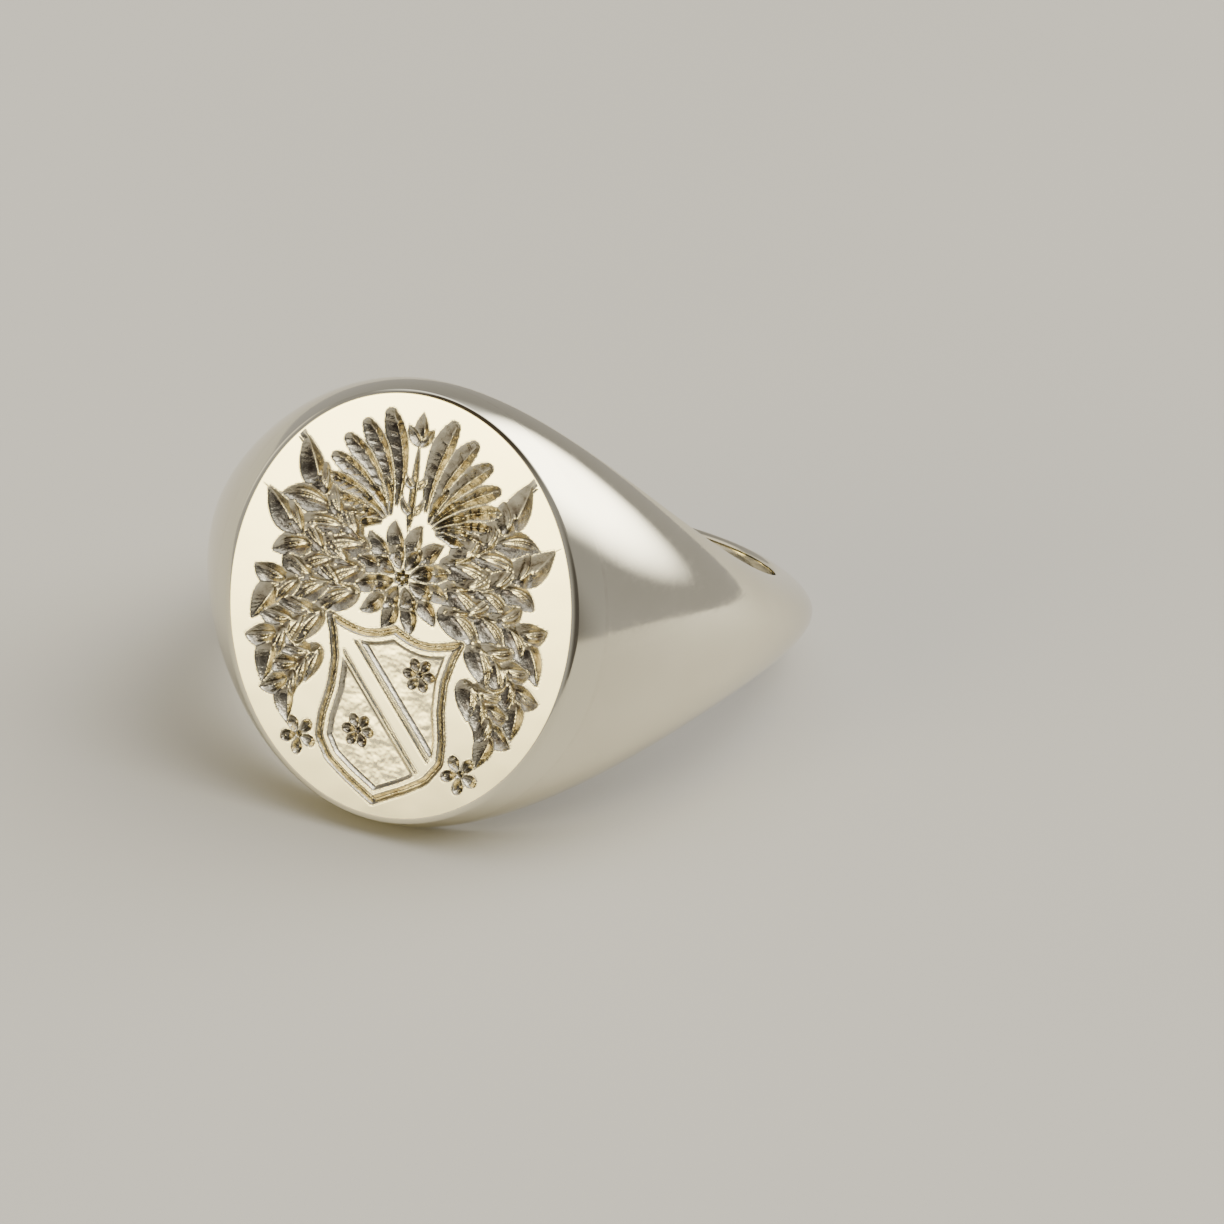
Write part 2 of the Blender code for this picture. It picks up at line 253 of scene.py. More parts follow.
def add_object(name, points, faces, material, sharp_degrees=35.0):
    """A smooth-shaded mesh object from points in the ring's millimetres, faces outwards."""
    mesh = bpy.data.meshes.new(name)
    mesh.from_pydata(to_world(points), [], faces)
    mesh.validate()
    face_outwards(mesh)
    mesh.shade_smooth()
    mesh.set_sharp_from_angle(angle=math.radians(sharp_degrees))
    mesh.materials.append(material)
    piece = bpy.data.objects.new(name, mesh)
    bpy.context.scene.collection.objects.link(piece)
    return piece


def sharpen_loop(mesh, loop):
    """Marks the edges that run along one loop of points as sharp."""
    on_loop = np.zeros(len(mesh.vertices), dtype=bool)
    on_loop[loop] = True
    ends = np.empty(2 * len(mesh.edges), dtype=np.int32)
    mesh.edges.foreach_get("vertices", ends)
    along = on_loop[ends.reshape(-1, 2)].all(axis=1)
    mesh.edges.foreach_set("use_edge_sharp", along)


def add_point_values(mesh, name, values):
    """Keeps one number for each of the mesh's first points, for the material to read."""
    padded = np.zeros(len(mesh.vertices), dtype=np.float32)
    padded[: len(values)] = values
    mesh.attributes.new(name, "FLOAT", "POINT").data.foreach_set("value", padded)


def steepness(mesh):
    """How far the surface turns away from the seal's face: 0 when level with it, 1 upright."""
    normals = np.empty(3 * len(mesh.vertices), dtype=np.float32)
    mesh.vertex_normals.foreach_get("vector", normals)
    facing = normals.reshape(-1, 3) @ RING_TURN[:, 2]
    return np.sqrt(np.clip(1 - facing**2, 0.0, 1.0))


def stand_for(piece, node):
    """The piece takes the place of one CAD node, which it hides."""
    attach(piece, BODY)
    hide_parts(node)
    return piece


def close_loft(points):
    """Points and faces of a closed solid from loops, with both ends capped."""
    rows, columns = points.shape[:2]
    faces = loft_faces(rows, columns)
    faces.append(list(range(columns))[::-1])
    faces.append(list(range((rows - 1) * columns, rows * columns)))
    return points.reshape(-1, 3), faces


def add_swept(name, angles, top_radii, material):
    """A closed piece of the ring's section, swept round the finger's axis."""
    points, faces = close_loft(section_outlines(angles, top_radii))
    points, faces = weld(points, faces)
    return add_object(name, points, faces, material)


def weld(points, faces):
    """Joins points that fall together at the crest and drops the faces that vanish with them."""
    keys = np.round(points, 6)
    _, first, index = np.unique(keys, axis=0, return_index=True, return_inverse=True)
    index = index.reshape(-1)
    kept = []
    for face in faces:
        corners = []
        for corner in index[face]:
            if corner not in corners[-1:] and corner not in corners[:1]:
                corners.append(corner)
        if len(corners) > 2:
            kept.append(corners)
    return points[first], kept


# ---------------------------------------------------------------- head, shank and solder


def add_head(material):
    """The block under the seal plate, with both shoulders, down to the solder joints."""
    seat_half_width = slice_axes(HEAD_TOP)[0]
    seat_turn = np.linspace(-0.5 * math.pi, 0.5 * math.pi, 161)
    seat_x = seat_half_width * np.sin(seat_turn)
    seat_angles = np.arctan2(seat_x, HEAD_TOP)
    seat_radii = np.hypot(seat_x, HEAD_TOP)
    right = np.linspace(seat_angles[-1], JOINT_START, 150)[1:]
    shoulder_radii = crown_radius(right)
    angles = np.concatenate([-right[::-1], seat_angles, right])
    radii = np.concatenate([shoulder_radii[::-1], seat_radii, shoulder_radii])
    return stand_for(add_swept("head_surface", angles, radii, material), "head")


def add_shank(material):
    """The D-section hoop behind the finger, from one solder joint round to the other."""
    angles = np.linspace(JOINT_END, 2 * math.pi - JOINT_END, 300)
    piece = add_swept("shank_surface", angles, crown_radius(angles), material)
    return stand_for(piece, "shank")


def add_shank_seam(side_name, side, material):
    """One of the two solder joints between the shoulders and the shank."""
    angles = side * np.linspace(JOINT_START, JOINT_END, 4)
    piece = add_swept(f"shank_seam_{side_name}", angles, crown_radius(angles), material)
    return stand_for(piece, f"shank_solder_{side_name}")


def ellipse_loop(half_width, half_length, z, count=640):
    """Points round an oval at one height."""
    turn = np.linspace(0.0, 2 * math.pi, count, endpoint=False)
    height = np.full(count, float(z))
    return np.stack([half_width * np.cos(turn), half_length * np.sin(turn), height], axis=-1)


def add_seal_seam(material):
    """The thin line of solder that shows round the edge, between the head and the seal plate."""
    levels = np.linspace(HEAD_TOP, PLATE_BOTTOM, 3)
    loops = np.stack([ellipse_loop(*slice_axes(z), z) for z in levels])
    points, faces = close_loft(loops)
    piece = add_object("seal_seam", points, faces, material)
    return stand_for(piece, "seal_solder")


# ---------------------------------------------------------------- the engraver's cuts


def bezier(controls, count):
    """Points along a Bezier curve with any number of control points."""
    order = len(controls) - 1
    share = np.linspace(0.0, 1.0, count)[:, None]
    curve = np.zeros((count, 2))
    for index, control in enumerate(controls):
        weight = math.comb(order, index) * (1 - share) ** (order - index) * share**index
        curve = curve + weight * np.array(control, float)
    return curve


def spiral(middle, radius, start_degrees, turns, count):
    """Points along a scroll that winds in towards its middle."""
    share = np.linspace(0.0, 1.0, count)
    angle = np.radians(start_degrees) + 2 * math.pi * turns * share
    reach_in = radius * (1 - 0.72 * share)
    return np.stack([middle[0] + reach_in * np.cos(angle), middle[1] + reach_in * np.sin(angle)], -1)


def leaf_swell(share):
    """Widest at the middle and pointed at both ends."""
    return np.sin(np.pi * share**0.8)


def flame_swell(share):
    """Broad near the root, then drawn out to a point."""
    return np.sin(np.pi * share**0.62) ** 0.9


def drop_swell(share):
    """Grows from a point to a round end."""
    rise = (share / 0.68) ** 0.75
    fall = np.sqrt(np.clip(1 - ((share - 0.68) / 0.32) ** 2, 0.0, 1.0))
    return np.where(share < 0.68, rise, fall)


def line_swell(share):
    """An even line with tapered ends."""
    return np.clip(np.minimum(share / 0.12, (1 - share) / 0.3), 0.12, 1.0)


def taper_swell(share):
    """Broad at the root and thinner all the way to the tip."""
    return np.minimum(share / 0.1, 1.0) * np.clip(1 - share, 0.0, 1.0) ** 0.6


class Cut:
    """One pass of the graver: a curved middle line with a width and a depth along it."""

    def __init__(self, line, half_width, depth, swell=leaf_swell, roundness=1.5):
        size = np.clip(swell(np.linspace(0.0, 1.0, len(line))), 0.0, 1.0)
        self.line = line
        widths = half_width * size
        self.widths = np.maximum(widths, THINNEST_HALF_WIDTH)
        self.depths = np.where(widths < LIFTED_HALF_WIDTH, 0.0, depth * size**0.7)
        self.roundness = roundness

    def mirrored(self):
        twin = copy.copy(self)
        twin.line = self.line * np.array([-1.0, 1.0])
        return twin

    def near(self, x, y):
        """Which points the cut can reach."""
        pad = self.widths.max() * 1.6 + 0.05
        low = self.line.min(axis=0) - pad
        high = self.line.max(axis=0) + pad
        return (x > low[0]) & (x < high[0]) & (y > low[1]) & (y < high[1])

    def measure(self, x, y):
        """Depth at each point, and how far inside the cut's brink it lies (1 on the middle line)."""
        ratio = np.full(x.shape, FAR)
        deepest = np.zeros(x.shape)
        for index in range(len(self.line) - 1):
            start = self.line[index]
            run = self.line[index + 1] - start
            length_squared = run @ run + 1e-12
            share = ((x - start[0]) * run[0] + (y - start[1]) * run[1]) / length_squared
            share = np.clip(share, 0.0, 1.0)
            distance = np.hypot(x - start[0] - share * run[0], y - start[1] - share * run[1])
            width = self.widths[index] + (self.widths[index + 1] - self.widths[index]) * share
            depth = self.depths[index] + (self.depths[index + 1] - self.depths[index]) * share
            closer = distance / width < ratio
            ratio = np.where(closer, distance / width, ratio)
            deepest = np.where(closer, depth, deepest)
        return deepest * (1 - np.clip(ratio, 0.0, 1.0) ** self.roundness), 1 - ratio


def turned(vector, degrees):
    sine = math.sin(math.radians(degrees))
    cosine = math.cos(math.radians(degrees))
    return np.array([vector[0] * cosine - vector[1] * sine, vector[0] * sine + vector[1] * cosine])


def direction(degrees_from_up):
    """Unit vector turned clockwise from up."""
    angle = math.radians(degrees_from_up)
    return np.array([math.sin(angle), math.cos(angle)])


def sideways(vector):
    return np.array([-vector[1], vector[0]])


class Design:
    """Broad cuts, and the fine lines cut inside them."""

    def __init__(self):
        self.bodies = []
        self.lines = []

    def body(self, controls, half_width, depth, swell=leaf_swell, roundness=1.5, count=12):
        self.bodies.append(Cut(bezier(controls, count), half_width, depth, swell, roundness))

    def scroll(self, line, half_width, depth):
        self.bodies.append(Cut(line, half_width, depth, taper_swell, 1.3))

    def fine(self, controls, half_width, depth, count=8):
        self.lines.append(Cut(bezier(controls, count), half_width, depth, line_swell, 1.2))

    def add_mirrored(self, other):
        for cut in other.bodies:
            self.bodies += [cut, cut.mirrored()]
        for cut in other.lines:
            self.lines += [cut, cut.mirrored()]

    def measure(self, x, y):
        depth, inside = deepest_of(self.bodies, x, y)
        fine, _ = deepest_of(self.lines, x, y)
        return depth + fine * np.clip(depth / FINE_FADE_DEPTH, 0.0, 1.0), inside


def deepest_of(cuts, x, y):
    """The deepest cut at each point, and how far inside the nearest brink it lies."""
    depth = np.zeros(x.shape)
    inside = np.full(x.shape, -1.0)
    for cut in cuts:
        reached = cut.near(x, y)
        if reached.any():
            cut_depth, cut_inside = cut.measure(x[reached], y[reached])
            depth[reached] = np.maximum(depth[reached], cut_depth)
            inside[reached] = np.maximum(inside[reached], cut_inside)
    return depth, inside


def add_flower(design, x, y, radius, petals, depth):
    """Drop-shaped petals round a small eye."""
    middle = np.array([x, y])
    for index in range(petals):
        out = direction(360.0 * (index + 0.5) / petals)
        petal = [middle + out * 0.15 * radius, middle + out * radius]
        design.body(petal, radius * 0.36, depth, drop_swell, 1.7, 8)
    eye = [middle - [0.02, 0.0], middle + [0.02, 0.0]]
    design.body(eye, radius * 0.24, depth * 1.2, line_swell, 1.3, 3)


def add_plume(design, root, degrees, length, half_width, depth, bend=-16.0):
    """One curved plume of a fan, with a rib down it and barbs on both sides."""
    out = direction(degrees)
    middle = root + direction(degrees + bend) * length * 0.56
    tip = root + out * length
    start = root + direction(degrees + 1.4 * bend) * length * 0.16
    design.body([start, middle, tip], half_width, depth, drop_swell, 1.5, 18)
    curve = bezier([start, middle, tip - out * 0.15], 9)
    design.fine([start, middle, tip - out * 0.12], 0.05, 0.07, 12)
    for before, place in zip(curve[1:-2], curve[2:-1]):
        along = (place - before) / np.hypot(*(place - before))
        for side in (-1, 1):
            end = place + along * 0.26 + sideways(along) * side * half_width * 0.8
            design.fine([place, end], 0.042, 0.05, 4)


def add_fan(design):
    """A fan of plumes that opens to the right of the middle, and a short row before it."""
    root = np.array(FAN_ROOT)
    for share in np.linspace(1.0, 0.0, LONG_PLUMES):
        length = 4.0 - 1.75 * share**0.9
        add_plume(design, root, 8.0 + 100.0 * share, length, 0.105 * length, 0.3)
    for share in np.linspace(0.0, 1.0, SHORT_PLUMES):
        add_plume(design, root, 18.0 + 82.0 * share, 1.75 - 0.45 * share, 0.17, 0.36)


def add_bud(design):
    """A bud on a stalk between the two fans."""
    design.body([(0.0, 2.6), (0.0, 5.8)], 0.13, 0.24, line_swell, 1.2, 6)
    start = np.array([0.0, 5.65])
    for degrees, length, half_width in ((0, 1.15, 0.27), (-38, 0.8, 0.21), (38, 0.8, 0.21)):
        tip = start + direction(degrees) * length
        design.body([start, (start + tip) / 2, tip], half_width, 0.26, leaf_swell, 1.5, 9)
    for height, length in ((4.2, 0.6), (3.3, 0.7)):
        for side in (-1, 1):
            start = np.array([0.0, height])
            leaf = [start, start + [side * 0.36, 0.1], start + [side * 0.42, length]]
            design.body(leaf, 0.13, 0.2, flame_swell, 1.4, 8)


def add_rosette(design):
    """The eight-petalled flower that the leaves spring from, in a ruff of short leaves."""
    middle = np.array([0.0, 1.05])
    for index in range(12):
        out = direction(30.0 * index + 15.0)
        aside = sideways(out)
        leaf = [middle + out * 0.9, middle + out * 1.5 + aside * 0.2, middle + out * 2.0]
        design.body(leaf, 0.33, 0.27, flame_swell, 1.5, 10)
        rib = [middle + out * 1.1, middle + out * 1.5 + aside * 0.12, middle + out * 1.8]
        design.fine(rib, 0.05, 0.07)
    for index in range(8):
        out = direction(45.0 * index + 22.5)
        aside = sideways(out)
        design.body([middle + out * 0.3, middle + out * 1.12], 0.33, 0.36, drop_swell, 1.7, 8)
        for place in (-1, 0, 1):
            start = middle + out * 0.42 + aside * place * 0.05
            end = middle + out * (0.98 - 0.08 * abs(place)) + aside * place * 0.17
            design.fine([start, end], 0.045, 0.07, 6)
    for index in range(6):
        out = direction(60.0 * index)
        design.body([middle + out * 0.08, middle + out * 0.3], 0.1, 0.44, leaf_swell, 1.3, 5)


def add_lobe(design, root, along, side, length, half_width):
    """One lobe of a leaf: it leaves the stem, curls outward to a point and has three veins."""
    out = turned(along, side * LOBE_LEAN)
    bend = root + out * length * 0.85
    tip = bend + turned(along, side * LOBE_TIP_LEAN) * length * 0.7
    design.body([root, bend, tip], half_width, LEAF_DEPTH * 0.9, flame_swell, 1.6, 14)
    for across in (-0.45, 0.0, 0.45):
        offset = sideways(out) * half_width * across
        vein = [root + out * 0.1, bend + offset, bend + (tip - bend) * 0.75 + offset * 0.6]
        design.fine(vein, 0.06, 0.065, 10)


def add_acanthus(design, stem, lengths, half_widths, outer, inner):
    """A leaf whose lobes take turns along the two sides of a stem, with one more at its end.

    Lobes change in length and half width from the root to the tip, and the last two arguments
    make those of the outer and inner side shorter.
    """
    count = 80
    line = bezier(stem, count)
    along = np.gradient(line, axis=0)
    along = along / np.hypot(along[:, 0], along[:, 1])[:, None]
    for index in range(LOBES_A_SIDE):
        for side, scale, lag in ((1, outer, 0.5), (-1, inner, 0.0)):
            share = FIRST_LOBE + LOBE_SPACING * (index + lag)
            place = int(share * (count - 1))
            length = scale * (lengths[0] + (lengths[1] - lengths[0]) * share)
            half_width = half_widths[0] + (half_widths[1] - half_widths[0]) * share
            add_lobe(design, line[place], along[place], side, length, half_width)
    end_lobe = [line[-14], line[-1], line[-1] + along[-1] * lengths[1] * 0.9]
    design.body(end_lobe, half_widths[1] * 1.1, LEAF_DEPTH * 0.9, flame_swell, 1.4, 12)
    design.body(stem, STEM_HALF_WIDTH, LEAF_DEPTH * 1.1, taper_swell, 1.2, 30)


def side_leaves():
    """The fan, leaves, scroll and flower to the right of the middle."""
    right = Design()
    add_fan(right)
    # Each leaf's stem, its lobes' lengths and half widths, and the scales of its two sides.
    leaves = (
        ([(1.4, 1.8), (2.5, 2.2), (3.5, 3.0), (3.9, 4.2)], (1.7, 1.3), (0.56, 0.46), 0.6, 0.9),
        ([(1.5, 1.0), (2.8, 1.1), (4.1, 1.4), (4.85, 2.4)], (1.6, 1.1), (0.56, 0.44), 0.75, 0.8),
        ([(1.6, 0.2), (3.0, 0.3), (4.6, 0.5), (5.1, -0.7)], (1.5, 1.05), (0.55, 0.43), 0.75, 0.8),
        ([(2.8, -0.7), (3.6, -1.0), (4.8, -1.5), (4.75, -2.8)], (1.35, 1.0), (0.5, 0.4), 0.75, 0.8),
        ([(2.75, -2.0), (3.3, -2.4), (4.2, -3.1), (3.85, -4.1)], (1.15, 0.9), (0.45, 0.35), 0.8, 0.8),
    )
    for leaf in leaves:
        add_acanthus(right, *leaf)
    right.scroll(spiral((3.75, -1.75), 0.55, 100.0, -1.2, 30), 0.22, 0.4)
    add_flower(right, 3.1, -5.15, 0.6, 5, 0.26)
    return right


def shield_outline(count=240):
    """The right half of the shield's outline from the middle of the top to the point, smoothed."""
    across = np.linspace(0.0, 1.0, 60)
    dip = SHIELD_TOP_DIP * np.sin(np.pi * across) * (1 - 0.3 * across)
    top = np.stack([across * SHIELD_HALF_WIDTHS[0], SHIELD_HEIGHTS[0] - dip], axis=-1)[:-1]
    heights = np.linspace(SHIELD_HEIGHTS[0], SHIELD_HEIGHTS[-1], count)
    widths = np.interp(-heights, -np.array(SHIELD_HEIGHTS), SHIELD_HALF_WIDTHS)
    for _ in range(14):
        widths[1:-1] = (widths[:-2] + 2 * widths[1:-1] + widths[2:]) / 4
    return np.concatenate([top, np.stack([widths, heights], axis=-1)])


def inside_outline(x, y, outline):
    """How far each point lies inside a closed outline that is alike left and right."""
    x = np.abs(x)
    nearest = np.full(x.shape, FAR)
    crossings = np.zeros(x.shape, dtype=int)
    for start, end in zip(outline[:-1], outline[1:]):
        run = end - start
        share = ((x - start[0]) * run[0] + (y - start[1]) * run[1]) / (run @ run + 1e-12)
        share = np.clip(share, 0.0, 1.0)
        distance = np.hypot(x - start[0] - share * run[0], y - start[1] - share * run[1])
        nearest = np.minimum(nearest, distance)
        spans = (start[1] > y) != (end[1] > y)
        crossing = start[0] + run[0] * (y - start[1]) / (run[1] if abs(run[1]) > 1e-9 else 1e-9)
        crossings += spans & (crossing > x)
    return np.where(crossings % 2 == 1, nearest, -nearest)


class Engraving:
    """The whole design: leaves, rosette and fans round a shield with a slanting band."""

    def __init__(self):
        self.leaves = Design()
        self.leaves.add_mirrored(side_leaves())
        add_bud(self.leaves)
        add_rosette(self.leaves)
        self.charges = Design()
        add_flower(self.charges, 1.05, -2.15, 0.52, 6, 0.2)
        add_flower(self.charges, -0.95, -4.55, 0.52, 6, 0.2)
        self.outline = shield_outline()

    def measure(self, x, y):
        """Depth of the engraving at each point, and how far inside a brink the point lies."""
        depth, inside = self.leaves.measure(x, y)
        shield = np.full(x.shape, -FAR)
        near = (np.abs(x) < 2.9) & (y < -0.5)
        shield[near] = inside_outline(x[near], y[near], self.outline)
        depth = depth * np.clip((-shield - BORDER_GAP) / BORDER_FADE, 0.0, 1.0)
        border = BORDER_DEPTH * np.clip(1 - np.abs(shield) / BORDER_HALF_WIDTH, 0.0, 1.0)
        depth = np.maximum(depth, border)
        depth = np.maximum(depth, self.shield_field(x, y, shield - SUNK_INSET))
        return depth, np.where(shield < -BORDER_GAP - BORDER_FADE, inside, -1.0)

    def shield_field(self, x, y, within):
        """The sunk field of the shield, with a slanting band left standing and two flowers."""
        from_band = np.abs(x + (y + BAND_DROP) * BAND_SLOPE) / math.hypot(1.0, BAND_SLOPE)
        from_edges = np.clip(within / SUNK_WALL, 0.0, 1.0)
        sunk = SUNK_DEPTH * from_edges * np.clip((from_band - BAND_HALF_WIDTH) / SUNK_WALL, 0.0, 1.0)
        tool_marks = np.sin(2.9 * x + 1.3 * np.sin(1.7 * y)) * np.sin(2.3 * y + 1.1 * x)
        on_floor = sunk > SUNK_DEPTH - 0.01
        sunk = sunk + TOOL_MARK_DEPTH * tool_marks * on_floor
        from_groove = np.abs(from_band - BAND_GROOVE_PLACE) / BAND_GROOVE_HALF_WIDTH
        groove = BAND_GROOVE_DEPTH * np.clip(1 - from_groove, 0.0, 1.0) * (within > 0.05)
        charges, _ = deepest_of(self.charges.bodies, x, y)
        return np.maximum(sunk, groove) + charges * (within > 0)


# ---------------------------------------------------------------- the seal plate


def disc_grid(across, along):
    """A square grid bent to fill a unit disc."""
    s, t = np.meshgrid(np.linspace(-1, 1, across), np.linspace(-1, 1, along))
    return s * np.sqrt(1 - t**2 / 2), t * np.sqrt(1 - s**2 / 2)


def grid_rim(across, along):
    """Indices of the grid's outermost points, in order, anticlockwise from the lower left."""
    index = np.arange(across * along).reshape(along, across)
    sides = [index[0, :-1], index[:-1, -1], index[-1, :0:-1], index[:0:-1, 0]]
    return np.concatenate(sides)


def snap_to_brinks(x, y, engraving):
    """Moves grid points that lie near a cut's brink on to it, so that the brinks come out crisp."""
    _, inside = engraving.measure(x, y)
    step = 0.004
    close_enough = 0.42
    far_outside = -0.9
    _, right = engraving.measure(x + step, y)
    _, up = engraving.measure(x, y + step)
    slope_x = (right - inside) / step
    slope_y = (up - inside) / step
    slope_squared = slope_x**2 + slope_y**2 + 1e-9
    cell = 2 * FIELD_HALF_WIDTH / GRID_ACROSS
    distance = np.abs(inside) / np.sqrt(slope_squared)
    close = (distance < close_enough * cell) & (inside > far_outside)
    x = np.where(close, x - inside * slope_x / slope_squared, x)
    y = np.where(close, y - inside * slope_y / slope_squared, y)
    return x, y


def plate_loops(rim_x, rim_y):
    """Loops from the field's rim out over the plain margin, round the bevel and down the side."""
    face_half_width = SEAL_HALF_WIDTH - SEAL_BEVEL_WIDTH
    face_half_length = SEAL_HALF_LENGTH - SEAL_BEVEL_WIDTH
    loops = []
    for share in (0.93, 1.0):
        half_width = FIELD_HALF_WIDTH + (face_half_width - FIELD_HALF_WIDTH) * share
        half_length = FIELD_HALF_LENGTH + (face_half_length - FIELD_HALF_LENGTH) * share
        loops.append((half_width, half_length, SEAL_HEIGHT))
    bevel_bottom = SEAL_HEIGHT - SEAL_BEVEL_DEPTH
    side_half_width, side_half_length = slice_axes(bevel_bottom)
    roundness = 0.012
    for share in (0.2, 0.5, 0.8):
        belly = roundness * math.sin(math.pi * share)
        half_width = face_half_width + (side_half_width - face_half_width) * share + belly
        half_length = face_half_length + (side_half_length - face_half_length) * share + belly
        loops.append((half_width, half_length, SEAL_HEIGHT - SEAL_BEVEL_DEPTH * share + belly * 0.6))
    # Loops lie close together at both ends of the side, which keeps the shading crisp there.
    upper_levels = (bevel_bottom, bevel_bottom - 0.03, bevel_bottom - 0.2)
    lower_levels = (PLATE_BOTTOM + 0.2, PLATE_BOTTOM + 0.01, PLATE_BOTTOM)
    for z in upper_levels + lower_levels:
        loops.append((*slice_axes(z), z))
    return [np.stack([a * rim_x, b * rim_y, np.full(rim_x.shape, z)], -1) for a, b, z in loops]


def add_seal_plate(material):
    """The whole plate as one closed mesh: engraved field, plain margin, bevel, side and base."""
    disc_x, disc_y = disc_grid(GRID_ACROSS, GRID_ALONG)
    engraving = Engraving()
    x, y = snap_to_brinks(disc_x * FIELD_HALF_WIDTH, disc_y * FIELD_HALF_LENGTH, engraving)
    depth, _ = engraving.measure(x, y)
    depth = np.minimum(depth, DEEPEST_CUT)
    field = np.stack([x, y, SEAL_HEIGHT - depth], axis=-1).reshape(-1, 3)
    index = np.arange(len(field)).reshape(GRID_ALONG, GRID_ACROSS)
    quads = np.stack([index[:-1, :-1], index[:-1, 1:], index[1:, 1:], index[1:, :-1]], axis=-1)
    faces = quads.reshape(-1, 4).tolist()
    rim = grid_rim(GRID_ACROSS, GRID_ALONG)
    loops = plate_loops(disc_x.ravel()[rim], disc_y.ravel()[rim])
    points = np.concatenate([field] + loops)
    before = rim
    for place in range(len(loops)):
        loop = len(field) + place * len(rim) + np.arange(len(rim))
        strip = np.stack([before, loop, np.roll(loop, -1), np.roll(before, -1)], axis=-1)
        faces.extend(strip.tolist())
        before = loop
    faces.append(before[::-1].tolist())
    piece = add_object("seal_plate_engraved", points, faces, material, 180.0)
    sharpen_loop(piece.data, before)
    add_point_values(piece.data, "cut_depth", depth.ravel())
    add_point_values(piece.data, "cut_slope", steepness(piece.data)[: len(field)])
    return stand_for(piece, "seal_plate")


# ---------------------------------------------------------------- materials


class NodeMaker:
    """Short calls for building a material's node tree."""

    def __init__(self, name):
        self.material = bpy.data.materials.new(name)
        self.material.use_nodes = True
        self.tree = self.material.node_tree
        self.shader = self.tree.nodes["Principled BSDF"]

    def add(self, kind, **settings):
        node = self.tree.nodes.new(kind)
        for key, value in settings.items():
            setattr(node, key, value)
        return node

    def link(self, output, target):
        self.tree.links.new(output, target)

    def noise(self, scale_mm, detail=3.0, roughness=0.5, stretch_to=(1.0, 1.0, 1.0)):
        """Noise whose features are about scale_mm across, in object coordinates."""
        place = self.add("ShaderNodeTexCoord")
        mapping = self.add("ShaderNodeMapping")
        mapping.inputs["Scale"].default_value = stretch_to
        node = self.add("ShaderNodeTexNoise")
        node.inputs["Scale"].default_value = 1.0 / (scale_mm * MM)
        node.inputs["Detail"].default_value = detail
        node.inputs["Roughness"].default_value = roughness
        self.link(place.outputs["Object"], mapping.inputs["Vector"])
        self.link(mapping.outputs["Vector"], node.inputs["Vector"])
        return node.outputs["Fac"]

    def remap(self, source, low, high, to_low, to_high):
        node = self.add("ShaderNodeMapRange")
        node.inputs["From Min"].default_value = low
        node.inputs["From Max"].default_value = high
        node.inputs["To Min"].default_value = to_low
        node.inputs["To Max"].default_value = to_high
        self.link(source, node.inputs["Value"])
        return node.outputs["Result"]

    def math(self, operation, first, second):
        node = self.add("ShaderNodeMath", operation=operation)
        for socket, value in zip(node.inputs, (first, second)):
            if isinstance(value, (int, float)):
                socket.default_value = value
            else:
                self.link(value, socket)
        return node.outputs["Value"]

    def mix_colour(self, factor, first, second):
        node = self.add("ShaderNodeMix", data_type="RGBA")
        self.link(factor, node.inputs["Factor"])
        for socket, value in ((node.inputs[6], first), (node.inputs[7], second)):
            if isinstance(value, tuple):
                socket.default_value = value
            else:
                self.link(value, socket)
        return node.outputs[2]

    def bump(self, height, distance_mm, strength=1.0, before=None):
        node = self.add("ShaderNodeBump")
        node.inputs["Strength"].default_value = strength
        node.inputs["Distance"].default_value = distance_mm * MM
        self.link(height, node.inputs["Height"])
        if before is not None:
            self.link(before, node.inputs["Normal"])
        return node.outputs["Normal"]


def polished_silver():
    """Hand-polished silver: soft waves left by the buff, hairline scratches and a warm tint."""
    make = NodeMaker("polished_silver")
    clouds = make.noise(2.2, 2.0)
    tint = make.remap(clouds, 0.35, 0.65, 0.0, 1.0)
    darker = (0.715, 0.675, 0.55, 1.0)
    paler = (0.75, 0.71, 0.58, 1.0)
    colour = make.mix_colour(tint, darker, paler)
    make.link(colour, make.shader.inputs["Base Color"])
    hairlines = make.noise(0.09, 2.0, 0.6, (1.0, 0.06, 1.0))
    crossing = make.noise(0.12, 2.0, 0.6, (0.05, 1.0, 0.3))
    lines = make.math("MULTIPLY", hairlines, crossing)
    roughness = make.remap(lines, 0.15, 0.4, 0.06, 0.13)
    make.link(roughness, make.shader.inputs["Roughness"])
    waves = make.bump(make.noise(1.6, 1.0), 0.004, 1.0)
    make.link(make.bump(lines, 0.0006, 1.0, waves), make.shader.inputs["Normal"])
    make.shader.inputs["Metallic"].default_value = 1.0
    return make.material


